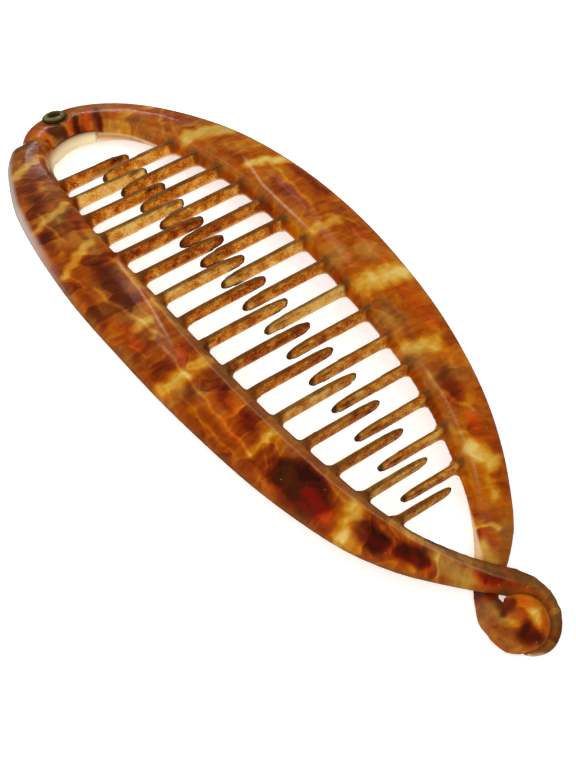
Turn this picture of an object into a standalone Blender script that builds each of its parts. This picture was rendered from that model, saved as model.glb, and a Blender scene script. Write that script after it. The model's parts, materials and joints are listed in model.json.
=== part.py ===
# Banana hair clip: two bowed plastic combs that swing on one brass rivet and hook together.
# Metres, +Z up. The closed clip lies hollow side down on z = 0, rivet at -X, clasp at +X.
# Places are first worked out on the clip's unrolled face: "along" runs from rivet to clasp,
# "aside" across the face and "rise" out of it. The face is then bowed round a long circle.
import bmesh
import bpy
from math import cos, pi, radians, sin, sqrt
from mathutils import Matrix, Vector

MM = 0.001

# The bow of the whole clip
BOW_RADIUS = 210 * MM
BOW_CROWN = 10.4 * MM          # "along" of the bow's highest point
LIFT = 17.25 * MM              # height of the unrolled face at the crown

# Where the bowed shape's own middle is put
SHIFT_X = -0.1 * MM
SHIFT_Y = 0.3 * MM

# The hinge: one arm's upper plate lies on the other arm's lower plate
PIN_ALONG = -62.2 * MM
PLATE_RADIUS = 8.8 * MM
PLATE_SPLIT = -2.35 * MM       # level at which the two plates meet
GAP = 0.3 * MM                 # running gap between pieces that touch

# The rivet
SHANK_RADIUS = 1.5 * MM
HEAD_RADIUS = 2.9 * MM
HEAD_SEAT = 0.1 * MM           # level of the flat under the head
HEAD_RISE = 1.0 * MM
TAIL_RADIUS = 2.6 * MM
TAIL_THICK = 0.5 * MM
TAIL_INSET = 0.6 * MM          # how far the tail stays inside the flat underside
PLATE_BOTTOM = -4.65 * MM      # level of the flat underside of the lower plate

# The teeth
FRONT_PITCH = 6.48 * MM
REAR_PITCH = 6.5 * MM
FIRST_TOOTH = -40.4 * MM       # "along" of the front comb's first tooth
FRONT_TEETH = 16
REAR_TEETH = 15
OVERREACH = 3.95 * MM          # how far a tip passes the clip's middle line
END_OVERREACH = 0.55 * MM      # what the tips at the two ends reach further
LEAN = 0.007                   # how much the rear roots spread from the bow's middle

# The clasp
CLASP_ALONG = 81.2 * MM
CLASP_ASIDE = 0.4 * MM

# Smoothness
STEP = 2.6 * MM                # spacing of the sections along an arm
TURN_SIDES = 24

# One row for each section that shapes an arm, in millimetres and degrees.
# aside is measured outward from the middle line, width from the inner ridge to the outer edge,
# foot is how far the inner wall's lower edge stands inward of the ridge, roll turns the section
# about the arm (outer edge down where negative), and top is the level of its highest point.
COLUMNS = ("along", "aside", "width", "thick", "foot", "crown", "roll", "top")

REAR_ARM = (
    (-38.2, 17.5, 10.0, 3.05, 1.2, 0.50, 0, 0.50),
    (-29.2, 19.55, 10.6, 2.95, 1.2, 0.55, 0, 0.55),
    (-19.3, 20.9, 10.95, 2.90, 1.2, 0.55, 0, 0.55),
    (-8.0, 21.45, 11.6, 2.90, 1.2, 0.55, 0, 0.55),
    (4.0, 21.4, 11.8, 2.90, 1.2, 0.55, 0, 0.55),
    (16.2, 20.65, 11.6, 2.90, 1.2, 0.55, 0, 0.55),
    (27.2, 19.65, 10.9, 2.90, 1.2, 0.55, 0, 0.55),
    (37.2, 18.05, 9.9, 2.85, 1.2, 0.55, 0, 0.55),
    (46.2, 15.85, 9.0, 2.80, 1.2, 0.50, 0, 0.50),
    (54.4, 12.95, 7.8, 2.70, 1.3, 0.45, 0, 0.45),
)
FRONT_ARM = (
    (-38.2, 17.55, 10.0, 3.05, 1.2, 0.50, 0, 0.50),
    (-29.2, 19.6, 10.6, 2.95, 1.2, 0.55, 0, 0.55),
    (-19.3, 20.9, 11.5, 2.90, 1.2, 0.55, 0, 0.55),
    (-8.0, 21.6, 12.5, 2.90, 1.2, 0.55, 0, 0.55),
    (4.0, 21.7, 12.5, 2.90, 1.2, 0.55, 0, 0.55),
    (16.2, 21.3, 12.3, 2.90, 1.2, 0.55, 0, 0.55),
    (27.2, 20.3, 11.7, 2.90, 1.2, 0.55, 0, 0.55),
    (37.2, 18.7, 11.2, 2.85, 1.2, 0.55, 0, 0.55),
    (46.2, 16.5, 10.3, 2.80, 1.2, 0.50, 0, 0.50),
    (54.4, 13.75, 9.0, 2.70, 1.2, 0.45, 0, 0.45),
)

# Round the rivet a row gives the two edges, measured from the rivet's axis
EDGE_COLUMNS = (
    "in_along", "in_aside", "out_along", "out_aside", "thick", "foot", "crown", "roll", "top",
)
NOSE = (
    (8.0, -6.4, 3.2, -10.0, 4.75, 1.4, 0.35, 0, 0.35),
    (6.5, -5.0, 0.6, -8.5, 4.75, 2.1, 0.40, 0, 0.40),
    (5.4, -3.4, -1.9, -6.2, 4.75, 2.3, 0.45, 0, 0.45),
    (4.8, -1.5, -3.8, -3.0, 4.75, 2.3, 0.45, 0, 0.45),
    (4.6, 0.5, -4.6, 0.9, 4.75, 2.3, 0.45, 0, 0.45),
    (5.0, 2.6, -4.3, 4.8, 4.75, 2.1, 0.45, 0, 0.45),
)
REAR_HINGE = (
    (6.2, 4.6, -2.3, 8.7, 4.60, 1.7, 0.45, 0, 0.45),
    (8.0, 6.3, 0.8, 12.0, 4.40, 1.5, 0.45, 0, 0.45),
    (10.2, 8.1, 4.9, 15.0, 4.10, 1.4, 0.45, 0, 0.45),
    (14.2, 10.2, 11.2, 18.2, 3.70, 1.3, 0.45, 0, 0.45),
)
FRONT_HINGE = (
    (4.9, 2.4, -2.0, 7.6, 4.75, 1.8, 0.40, 0, 0.40),
    (6.6, 4.9, 0.8, 10.3, 4.60, 1.7, 0.40, 0, 0.40),
    (8.5, 7.1, 3.8, 12.9, 4.40, 1.5, 0.45, 0, 0.45),
    (10.9, 8.8, 8.0, 15.8, 4.10, 1.4, 0.45, 0, 0.45),
    (14.4, 10.4, 12.6, 18.1, 3.70, 1.3, 0.45, 0, 0.45),
)

# The rear arm dives under the front one and comes up round the clasp's near side
REAR_HOOK = (
    (61.3, 9.8, 6.6, 2.60, 1.1, 0.35, 0, 0.20),
    (66.6, 6.8, 6.1, 2.40, 0.9, 0.25, 2, -0.75),
    (70.4, 3.8, 5.0, 2.20, 0.8, 0.20, 4, -2.15),
    (74.2, 0.4, 3.8, 2.10, 0.6, 0.20, 8, -3.90),
    (77.3, -2.1, 3.4, 2.10, 0.5, 0.20, 26, -3.10),
    (80.3, -3.3, 3.2, 2.20, 0.4, 0.20, 44, -1.50),
    (83.2, -3.2, 2.8, 2.20, 0.2, 0.20, 48, -0.90),
    (85.0, -1.7, 1.6, 1.60, 0.2, 0.15, 48, -1.00),
)

# The front arm passes over the rear one and curls down round the clasp's far side
FRONT_CROSSING = (
    (61.5, 10.1, 7.0, 2.50, 1.2, 0.35, -4, 0.45),
    (67.6, 5.4, 5.2, 2.30, 1.2, 0.25, -12, 0.45),
    (72.8, 0.5, 4.1, 2.10, 1.2, 0.20, -22, 0.45),
)

# The curl, given by its turn about the clasp's middle and its radius there
CURL_COLUMNS = ("turn", "radius", "width", "thick", "foot", "crown", "roll", "top")
CURL = (
    (143, 5.6, 3.8, 2.00, 1.2, 0.15, -44, 0.30),
    (108, 5.75, 3.6, 1.80, 1.1, 0.10, -66, 0.10),
    (74, 6.05, 3.3, 1.70, 1.0, 0.10, -78, -0.20),
    (44, 6.3, 2.6, 1.70, 0.7, 0.10, -84, -0.90),
    (18, 6.1, 1.8, 1.70, 0.4, 0.05, -88, -1.90),
    (-6, 5.2, 1.2, 1.50, 0.2, 0.05, -90, -2.75),
    (-26, 4.4, 0.9, 1.30, 0.2, 0.05, -90, -2.80),
)

# The tooth's outline: distance from the root or the tip in millimetres, breadth at the
# underside and at the crest, and the levels of both
TOOTH_COLUMNS = ("place", "base", "crest", "under", "over")
TOOTH_ROOT = (
    (-3.6, 1.7, 1.20, -2.60, -0.25),
    (-1.3, 2.3, 1.20, -2.80, -0.12),
    (0.00, 3.30, 1.20, -2.88, -0.14),
    (0.30, 2.60, 1.20, -2.89, -0.15),
    (0.80, 2.15, 1.20, -2.89, -0.17),
    (1.60, 1.95, 1.20, -2.89, -0.20),
)
TOOTH_TIP = (
    (4.50, 1.80, 1.15, -2.90, -0.35),
    (1.80, 1.65, 1.05, -2.88, -0.65),
    (0.60, 1.25, 0.75, -2.80, -0.95),
    (0.05, 0.60, 0.35, -2.45, -1.45),
)

# The button on the rear hook: radius and level of each ring, from the middle of its top down
BUTTON = (
    (0.0, 0.45),
    (2.5, 0.30),
    (3.8, 0.00),
    (4.6, -0.45),
    (5.0, -1.05),
    (4.85, -1.75),
    (4.2, -2.25),
    (0.0, -2.45),
)


def bow(along, aside, rise):
    """Place a point of the unrolled face on the bowed clip."""
    turn = (along - BOW_CROWN) / BOW_RADIUS
    reach = BOW_RADIUS + rise
    return Vector((
        reach * sin(turn) + SHIFT_X,
        aside + SHIFT_Y,
        reach * cos(turn) - BOW_RADIUS + LIFT,
    ))


def pin_frame():
    """The rivet's own frame: origin on the unrolled face, z along its axis."""
    turn = (PIN_ALONG - BOW_CROWN) / BOW_RADIUS
    return Matrix.Translation(bow(PIN_ALONG, 0, 0)) @ Matrix.Rotation(turn, 4, "Y")


def as_rows(columns, table):
    """Turn a table in millimetres and degrees into named rows in metres and radians."""
    rows = []
    for line in table:
        row = dict(zip(columns, line))
        for name in columns:
            row[name] *= radians(1) if name in ("roll", "turn") else MM
        rows.append(row)
    return rows


def curl_rows(side):
    """The front hook's rows, laid out round the middle of the clasp."""
    rows = as_rows(CURL_COLUMNS, CURL)
    for row in rows:
        row["along"] = CLASP_ALONG + row["radius"] * cos(row["turn"])
        row["aside"] = side * (CLASP_ASIDE + row["radius"] * sin(row["turn"]))
    return rows


def hinge_rows(table):
    """Rows given from the rivet's axis, moved to the clip's own places."""
    rows = as_rows(EDGE_COLUMNS, table)
    for row in rows:
        row["in_along"] += PIN_ALONG
        row["out_along"] += PIN_ALONG
    return rows


def edged(rows):
    """Give rows that have a middle and a width their two edges, square to the arm's run."""
    for i, row in enumerate(rows):
        before = rows[max(i - 1, 0)]
        after = rows[min(i + 1, len(rows) - 1)]
        heading = Vector((after["along"] - before["along"], after["aside"] - before["aside"]))
        outward = Vector((-heading.y, heading.x)).normalized() * row["width"] / 2
        row["in_along"] = row["along"] - outward.x
        row["in_aside"] = row["aside"] - outward.y
        row["out_along"] = row["along"] + outward.x
        row["out_aside"] = row["aside"] + outward.y
    return rows


def smooth(values, places, wanted):
    """Cubic interpolation through values at places (finite-difference tangents)."""
    last = len(values) - 1
    slopes = []
    for i in range(last + 1):
        low = max(i - 1, 0)
        high = min(i + 1, last)
        slopes.append((values[high] - values[low]) / (places[high] - places[low]))
    found = []
    i = 0
    for place in wanted:
        while i < last - 1 and place > places[i + 1]:
            i += 1
        span = places[i + 1] - places[i]
        t = (place - places[i]) / span
        found.append(
            values[i] * (1 + 2 * t) * (1 - t) ** 2
            + slopes[i] * span * t * (1 - t) ** 2
            + values[i + 1] * t * t * (3 - 2 * t)
            + slopes[i + 1] * span * t * t * (t - 1)
        )
    return found


def fill_in(rows, step):
    """Add smooth rows between the given ones, about one step apart and never fewer than two."""
    places = [0.0]
    wanted = [0.0]
    for a, b in zip(rows, rows[1:]):
        run = 0.5 * (
            sqrt((b["in_along"] - a["in_along"]) ** 2 + (b["in_aside"] - a["in_aside"]) ** 2)
            + sqrt((b["out_along"] - a["out_along"]) ** 2 + (b["out_aside"] - a["out_aside"]) ** 2)
        )
        parts = max(2, round(run / step))
        wanted += [places[-1] + run * (i + 1) / parts for i in range(parts)]
        places.append(places[-1] + run)
    columns = {name: smooth([row[name] for row in rows], places, wanted) for name in EDGE_COLUMNS}
    return [{name: columns[name][i] for name in EDGE_COLUMNS} for i in range(len(wanted))]


def strap_section(width, thick, foot, crown):
    """Outline of an arm's section as (across, rise): inner foot, ridge, crown, round outer edge."""
    half = width / 2
    nose = thick / 2
    round_off = min(nose, 0.8 * half)
    points = [
        (-half - 0.80 * foot, -thick),
        (-half - foot, -0.93 * thick),
        (-half - 0.12 * foot, -0.16 * thick),
        (-half + 0.10 * round_off, -0.02 * thick),
    ]
    start = points[-1]
    end = (half - round_off * (1 - cos(radians(74))), -nose * (1 - sin(radians(74))))
    for step in (0.16, 0.36, 0.58, 0.80):
        across = start[0] + (end[0] - start[0]) * step
        rise = start[1] + (end[1] - start[1]) * step + crown * 4 * step * (1 - step)
        points.append((across, rise))
    for degrees in (74, 46, 16, -14, -44, -74):
        turn = radians(degrees)
        points.append((half - round_off * (1 - cos(turn)), -nose * (1 - sin(turn))))
    points.append((half - 1.1 * round_off, -thick))
    points.append((-0.3 * half, -thick))
    return points


def loft(rings):
    """Close a row of equal rings into one solid."""
    mesh = bmesh.new()
    loops = [[mesh.verts.new(point) for point in ring] for ring in rings]
    for a, b in zip(loops, loops[1:]):
        for i in range(len(a)):
            j = (i + 1) % len(a)
            mesh.faces.new((a[i], a[j], b[j], b[i]))
    mesh.faces.new(loops[0][::-1])
    mesh.faces.new(loops[-1])
    bmesh.ops.triangulate(mesh, faces=[f for f in mesh.faces if len(f.verts) > 4])
    bmesh.ops.recalc_face_normals(mesh, faces=mesh.faces[:])
    return mesh


def strap(rows, side):
    """Loft an arm through its rows. side is 1 for the rear arm and -1 for the front one."""
    rings = []
    for row in rows:
        inner = Vector((row["in_along"], row["in_aside"]))
        outer = Vector((row["out_along"], row["out_aside"]))
        middle = (inner + outer) / 2
        outward = (outer - inner).normalized()
        swung = []
        for across, rise in strap_section((outer - inner).length, row["thick"], row["foot"], row["crown"]):
            centred = rise + row["thick"] / 2
            swung.append((
                across * cos(row["roll"]) - centred * sin(row["roll"]),
                across * sin(row["roll"]) + centred * cos(row["roll"]),
            ))
        level = row["top"] - max(rise for across, rise in swung)
        rings.append([
            bow(middle.x + outward.x * across, side * (middle.y + outward.y * across), level + rise)
            for across, rise in swung
        ])
    return loft(rings)


def grown(rows, by):
    """The same arm with room left all round it."""
    wide = []
    for row in rows:
        inner = Vector((row["in_along"], row["in_aside"]))
        outer = Vector((row["out_along"], row["out_aside"]))
        out = (outer - inner).normalized() * by
        more = dict(row)
        more["in_along"] -= out.x
        more["in_aside"] -= out.y
        more["out_along"] += out.x
        more["out_aside"] += out.y
        more["thick"] += 2 * by
        more["top"] += by
        wide.append(more)
    return wide


def inner_foot(rows, along):
    """How far aside the lower edge of an arm's inner wall lies at a place along the clip."""
    edges = []
    for row in rows:
        inner = Vector((row["in_along"], row["in_aside"]))
        outer = Vector((row["out_along"], row["out_aside"]))
        edges.append(inner - (outer - inner).normalized() * row["foot"])
    for a, b in zip(edges, edges[1:]):
        if a.x <= along <= b.x:
            return a.y + (b.y - a.y) * (along - a.x) / (b.x - a.x)
    raise ValueError("no inner wall here")


def tooth(along, side, root):
    """One comb tooth, from inside its arm's inner wall to past the clip's middle line."""
    spread = (along / (60 * MM)) ** 2
    tip = -(OVERREACH + END_OVERREACH * spread)
    lean = side * LEAN * along
    rings = []
    for row in as_rows(TOOTH_COLUMNS, TOOTH_ROOT):
        rings.append((root - row["place"], row))
    for row in as_rows(TOOTH_COLUMNS, TOOTH_TIP):
        rings.append((tip + row["place"], row))
    outlines = []
    for aside, row in rings:
        here = along + lean * (aside - tip) / (root - tip)
        waist = min(row["base"], row["crest"] + 0.15 * MM)
        middle = 0.4 * row["under"] + 0.6 * row["over"]
        outlines.append([
            bow(here + across, side * aside, rise)
            for across, rise in (
                (-row["base"] / 2, row["under"]),
                (row["base"] / 2, row["under"]),
                (waist / 2, middle),
                (row["crest"] / 2, row["over"]),
                (-row["crest"] / 2, row["over"]),
                (-waist / 2, middle),
            )
        ])
    return loft(outlines)


def turned(profile, centre, sides):
    """A turned solid on the unrolled face, from rings of radius and level."""
    mesh = bmesh.new()
    loops = []
    for radius, level in profile:
        if radius == 0:
            loops.append([mesh.verts.new(bow(centre[0], centre[1], level * MM))])
            continue
        loops.append([
            mesh.verts.new(bow(
                centre[0] + radius * MM * cos(2 * pi * i / sides),
                centre[1] + radius * MM * sin(2 * pi * i / sides),
                level * MM,
            ))
            for i in range(sides)
        ])
    for a, b in zip(loops, loops[1:]):
        for i in range(sides):
            j = (i + 1) % sides
            if len(a) == 1:
                mesh.faces.new((a[0], b[i], b[j]))
            elif len(b) == 1:
                mesh.faces.new((a[i], b[0], a[j]))
            else:
                mesh.faces.new((a[i], b[i], b[j], a[j]))
    bmesh.ops.recalc_face_normals(mesh, faces=mesh.faces[:])
    return mesh


def as_object(name, mesh, collection):
    """Put a bmesh into the scene as an object."""
    data = bpy.data.meshes.new(name)
    mesh.to_mesh(data)
    mesh.free()
    item = bpy.data.objects.new(name, data)
    collection.objects.link(item)
    return item


def guide(name, mesh, collection):
    """An object that only cuts or joins others."""
    item = as_object(name, mesh, collection)
    item.hide_render = True
    item.display_type = "WIRE"
    return item


def below_rest():
    """All that lies under z = 0: both ends are trimmed flat there, so that the clip lies still."""
    mesh = bmesh.new()
    depth = 10 * MM
    size = Matrix.Diagonal((200 * MM, 100 * MM, depth, 1))
    bmesh.ops.create_cube(mesh, size=1.0, matrix=Matrix.Translation((0, 0, -depth / 2)) @ size)
    return mesh


def cylinder(radius, low, high, sides):
    """A cylinder on the rivet's axis, between two levels."""
    mesh = bmesh.new()
    bmesh.ops.create_cone(
        mesh, cap_ends=True, segments=sides, radius1=radius, radius2=radius, depth=high - low,
        matrix=pin_frame() @ Matrix.Translation((0, 0, (low + high) / 2)),
    )
    return mesh


def block(low, high, turn=0.0):
    """A box in the rivet's frame, turned about its own corner at low."""
    mesh = bmesh.new()
    size = Vector(high) - Vector(low)
    place = Matrix.Translation(low) @ Matrix.Rotation(turn, 4, "Z") @ Matrix.Translation(size / 2)
    bmesh.ops.create_cube(mesh, size=1.0, matrix=pin_frame() @ place @ Matrix.Diagonal((*size, 1)))
    return mesh


def boolean(item, other, operation):
    """Add a Boolean modifier."""
    step = item.modifiers.new(operation.lower() + "_" + other.name, "BOOLEAN")
    step.operation = operation
    step.object = other
    step.solver = "EXACT"
    step.use_self = operation == "UNION"


def joined(meshes):
    """Several separate shells in one mesh."""
    whole = bmesh.new()
    for mesh in meshes:
        data = bpy.data.meshes.new("part")
        mesh.to_mesh(data)
        mesh.free()
        whole.from_mesh(data)
        bpy.data.meshes.remove(data)
    return whole


def outside_plate(side):
    """All that lies on one side of the clip near the hinge, apart from the round plate itself."""
    far = 40 * MM
    deep = 12 * MM
    low = (-far, 0, -deep) if side > 0 else (-far, -far, -deep)
    high = (14 * MM, far, deep) if side > 0 else (14 * MM, 0, deep)
    return block(low, high)


def make_material(name, colour, roughness, metallic=0.0):
    """A plain finish for one piece."""
    material = bpy.data.materials.new(name)
    material.use_nodes = True
    shader = material.node_tree.nodes["Principled BSDF"]
    shader.inputs["Base Color"].default_value = (*colour, 1)
    shader.inputs["Roughness"].default_value = roughness
    shader.inputs["Metallic"].default_value = metallic
    return material


def seat_on_axis(item):
    """Move an object's origin to the rivet's axis and leave its shape where it is."""
    frame = pin_frame()
    item.data.transform(frame.inverted())
    item.matrix_world = frame


def build_rear_comb(parts, guides):
    """The rear comb: upper hinge plate, arm with fifteen teeth, and the hook with its button."""
    arm = edged(as_rows(COLUMNS, REAR_ARM + REAR_HOOK))
    rows = fill_in(hinge_rows(NOSE + REAR_HINGE) + arm, STEP)
    comb = as_object("rear_comb", strap(rows, 1), parts)
    teeth = []
    for i in range(REAR_TEETH):
        along = FIRST_TOOTH + REAR_PITCH * (i + 0.5)
        teeth.append(tooth(along, 1, inner_foot(rows, along)))
    boolean(comb, guide("rear_teeth", joined(teeth), guides), "UNION")
    button = turned(BUTTON, (CLASP_ALONG, CLASP_ASIDE), TURN_SIDES)
    boolean(comb, guide("clasp_button", button, guides), "UNION")
    hook = edged(as_rows(COLUMNS, FRONT_CROSSING) + curl_rows(-1))
    room = strap(grown(fill_in(hook, STEP), GAP), -1)
    boolean(comb, guide("room_for_front_hook", room, guides), "DIFFERENCE")
    below = cylinder(PLATE_RADIUS + GAP, -12 * MM, PLATE_SPLIT + GAP / 2, 48)
    boolean(comb, guide("room_for_lower_plate", below, guides), "DIFFERENCE")
    keep = guide("front_side", outside_plate(-1), guides)
    boolean(keep, guide("upper_plate", cylinder(PLATE_RADIUS, -14 * MM, 14 * MM, 48), guides), "DIFFERENCE")
    boolean(comb, keep, "DIFFERENCE")
    return comb


def build_front_comb(parts, guides):
    """The front comb: lower hinge plate, arm with sixteen teeth, and the hook that curls down."""
    arm = edged(as_rows(COLUMNS, FRONT_ARM + FRONT_CROSSING) + curl_rows(-1))
    rows = fill_in(hinge_rows(FRONT_HINGE) + arm, STEP)
    comb = as_object("front_comb", strap(rows, -1), parts)
    teeth = []
    for i in range(FRONT_TEETH):
        along = FIRST_TOOTH + FRONT_PITCH * i
        teeth.append(tooth(along, -1, inner_foot(rows, along)))
    boolean(comb, guide("front_teeth", joined(teeth), guides), "UNION")
    seam = block((6.5 * MM, -4.8 * MM, -12 * MM), (36.5 * MM, 25.2 * MM, 12 * MM), radians(180 - 18))
    boolean(comb, guide("seam", seam, guides), "DIFFERENCE")
    turn = strap(fill_in(hinge_rows(NOSE + REAR_HINGE[:2]), STEP), 1)
    boolean(comb, guide("lower_turn", turn, guides), "UNION")
    above = cylinder(PLATE_RADIUS + GAP, PLATE_SPLIT - GAP / 2, 12 * MM, 48)
    boolean(comb, guide("room_for_upper_plate", above, guides), "DIFFERENCE")
    under = block((-12 * MM, -12 * MM, -14 * MM), (12 * MM, 12 * MM, PLATE_BOTTOM))
    boolean(comb, guide("flat_underside", under, guides), "DIFFERENCE")
    keep = guide("rear_side", outside_plate(1), guides)
    boolean(keep, guide("lower_plate", cylinder(PLATE_RADIUS, -14 * MM, 14 * MM, 48), guides), "DIFFERENCE")
    boolean(comb, keep, "DIFFERENCE")
    boolean(comb, guide("below_rest", below_rest(), guides), "DIFFERENCE")
    return comb


def drill(rear, front, guides):
    """The rivet's hole through both plates, its seat on top and the recess for its tail."""
    hole = guide("rivet_hole", cylinder(SHANK_RADIUS + GAP, -12 * MM, 12 * MM, 24), guides)
    seat = guide("head_seat", cylinder(HEAD_RADIUS + GAP, HEAD_SEAT, 12 * MM, 32), guides)
    tail_top = PLATE_BOTTOM + TAIL_INSET + TAIL_THICK + GAP
    recess = guide("tail_recess", cylinder(TAIL_RADIUS + GAP, -12 * MM, tail_top, 32), guides)
    boolean(rear, hole, "DIFFERENCE")
    boolean(rear, seat, "DIFFERENCE")
    boolean(front, hole, "DIFFERENCE")
    boolean(front, recess, "DIFFERENCE")


def build_rivet(parts):
    """The rivet, turned from one profile: domed head, shank and flared tail."""
    head_low = HEAD_SEAT + GAP
    tail_low = PLATE_BOTTOM + TAIL_INSET
    profile = (
        (0, head_low + HEAD_RISE),
        (0.45 * HEAD_RADIUS, head_low + 0.92 * HEAD_RISE),
        (0.78 * HEAD_RADIUS, head_low + 0.66 * HEAD_RISE),
        (0.96 * HEAD_RADIUS, head_low + 0.30 * HEAD_RISE),
        (HEAD_RADIUS, head_low),
        (SHANK_RADIUS, head_low),
        (SHANK_RADIUS, tail_low + TAIL_THICK),
        (TAIL_RADIUS, tail_low + TAIL_THICK),
        (TAIL_RADIUS, tail_low + 0.4 * TAIL_THICK),
        (0.85 * TAIL_RADIUS, tail_low),
        (0, tail_low),
    )
    mesh = bmesh.new()
    points = [mesh.verts.new((radius, 0, level)) for radius, level in profile]
    for a, b in zip(points, points[1:]):
        mesh.edges.new((a, b))
    rivet = as_object("hinge_rivet", mesh, parts)
    rivet.matrix_world = pin_frame()
    screw = rivet.modifiers.new("turned", "SCREW")
    screw.axis = "Z"
    screw.steps = 28
    screw.render_steps = 28
    screw.use_merge_vertices = True
    screw.merge_threshold = 0.00002
    return rivet


def main():
    for item in list(bpy.data.objects):
        bpy.data.objects.remove(item, do_unlink=True)
    parts = bpy.data.collections.new("banana_hair_clip")
    guides = bpy.data.collections.new("cutters")
    for collection in (parts, guides):
        bpy.context.scene.collection.children.link(collection)
    rear = build_rear_comb(parts, guides)
    front = build_front_comb(parts, guides)
    drill(rear, front, guides)
    rivet = build_rivet(parts)
    seat_on_axis(rear)
    rear.data.materials.append(make_material("rear_tortoiseshell", (0.42, 0.15, 0.03), 0.12))
    front.data.materials.append(make_material("front_tortoiseshell", (0.40, 0.13, 0.03), 0.12))
    rivet.data.materials.append(make_material("brass", (0.62, 0.45, 0.18), 0.25, 1.0))
    for item in (rear, front, rivet):
        item.data.shade_smooth()
    bpy.context.view_layer.update()


main()
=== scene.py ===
# Banana hair clip, dressed: two tortoiseshell combs and a brass rivet, on a pale table.
# "along", "aside" and "rise" are millimetres on the clip's unrolled face, as in the part's source.
import json

import bpy
import numpy as np
from mathutils import Matrix, Vector


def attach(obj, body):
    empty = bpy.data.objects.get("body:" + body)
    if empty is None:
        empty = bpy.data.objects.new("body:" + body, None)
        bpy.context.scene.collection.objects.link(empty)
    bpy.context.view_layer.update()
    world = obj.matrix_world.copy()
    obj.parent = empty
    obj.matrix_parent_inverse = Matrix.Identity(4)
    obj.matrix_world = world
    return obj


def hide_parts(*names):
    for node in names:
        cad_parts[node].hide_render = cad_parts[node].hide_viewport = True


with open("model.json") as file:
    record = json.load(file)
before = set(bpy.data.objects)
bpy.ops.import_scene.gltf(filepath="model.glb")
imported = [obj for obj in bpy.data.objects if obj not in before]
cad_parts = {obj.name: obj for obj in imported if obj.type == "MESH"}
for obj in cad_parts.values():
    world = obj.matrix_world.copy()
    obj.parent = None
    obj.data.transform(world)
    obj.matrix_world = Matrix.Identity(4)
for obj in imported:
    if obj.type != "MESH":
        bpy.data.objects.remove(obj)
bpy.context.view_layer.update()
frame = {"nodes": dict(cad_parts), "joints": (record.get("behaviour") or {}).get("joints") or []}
mm = 0.001

# The bow: a long circle whose middle lies under the rivet, on the hinge's own axis
hinge = frame["joints"][0]
pinPlace = Vector(hinge["pos_m"])
pinAxis = Vector(hinge["axis"]).normalized()
bow = {"radius": 210.0, "pinAlong": -62.2}
bowCentre = pinPlace - pinAxis * bow["radius"] * mm


def selectOnly(piece):
    if bpy.context.object and bpy.context.object.mode != "OBJECT":
        bpy.ops.object.mode_set(mode="OBJECT")
    bpy.ops.object.select_all(action="DESELECT")
    piece.select_set(True)
    bpy.context.view_layer.objects.active = piece


def applyModifier(piece, name, kind, **settings):
    selectOnly(piece)
    modifier = piece.modifiers.new(name, kind)
    for key, value in settings.items():
        setattr(modifier, key, value)
    bpy.ops.object.modifier_apply(modifier=modifier.name)


def smoothStep(low, high, values):
    t = np.clip((values - low) / (high - low), 0, 1)
    return t * t * (3 - 2 * t)


# Shader writing

def tint(red, green, blue):
    # a colour as seen on screen, made linear
    linear = [((c / 255 + 0.055) / 1.055) ** 2.4 if c > 10 else c / 3295 for c in (red, green, blue)]
    return (*linear, 1)


class Wire:
    # One output socket. Arithmetic on it adds Math nodes.
    def __init__(self, board, socket):
        self.board = board
        self.socket = socket

    def math(self, operation, first, second):
        return self.board.node("ShaderNodeMath", {"operation": operation}, {0: first, 1: second})

    def __add__(self, other):
        return self.math("ADD", self, other)

    def __radd__(self, other):
        return self.math("ADD", other, self)

    def __sub__(self, other):
        return self.math("SUBTRACT", self, other)

    def __rsub__(self, other):
        return self.math("SUBTRACT", other, self)

    def __mul__(self, other):
        return self.math("MULTIPLY", self, other)

    def __rmul__(self, other):
        return self.math("MULTIPLY", other, self)


class Board:
    # One material and its nodes.
    def __init__(self, name):
        self.material = bpy.data.materials.new(name)
        self.material.use_nodes = True
        self.tree = self.material.node_tree
        self.shader = self.tree.nodes["Principled BSDF"]

    def put(self, socket, value):
        if isinstance(value, Wire):
            self.tree.links.new(value.socket, socket)
        else:
            socket.default_value = value

    def node(self, kind, settings=None, sockets=None, out=0):
        made = self.tree.nodes.new(kind)
        for key, value in (settings or {}).items():
            if key == "stops":
                ramp = made.color_ramp
                while len(ramp.elements) < len(value):
                    ramp.elements.new(0.5)
                for element, (place, colour) in zip(ramp.elements, value):
                    element.position = place
                    element.color = colour
            else:
                setattr(made, key, value)
        for key, value in (sockets or {}).items():
            self.put(made.inputs[key], value)
        return Wire(self, made.outputs[out])

    def painted(self, name):
        return self.node("ShaderNodeAttribute", {"attribute_name": name}, out=2)

    def mix(self, factor, first, second):
        return self.node("ShaderNodeMix", {"data_type": "RGBA"}, {0: factor, 6: first, 7: second}, out=2)

    def ease(self, value, low, high):
        settings = {"interpolation_type": "SMOOTHSTEP"}
        return self.node("ShaderNodeMapRange", settings, {0: value, 1: low, 2: high, 3: 0.0, 4: 1.0})

    def noise(self, place, scale, detail=2.0, roughness=0.5, out=0):
        sockets = {"Vector": place, "Scale": scale, "Detail": detail, "Roughness": roughness}
        return self.node("ShaderNodeTexNoise", None, sockets, out)

    def vector(self, operation, first, second, out=0):
        return self.node("ShaderNodeVectorMath", {"operation": operation}, {0: first, 1: second}, out)

    def finish(self, **sockets):
        for name, value in sockets.items():
            self.put(self.shader.inputs[name], value)
        return self.material


# The combs

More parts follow.
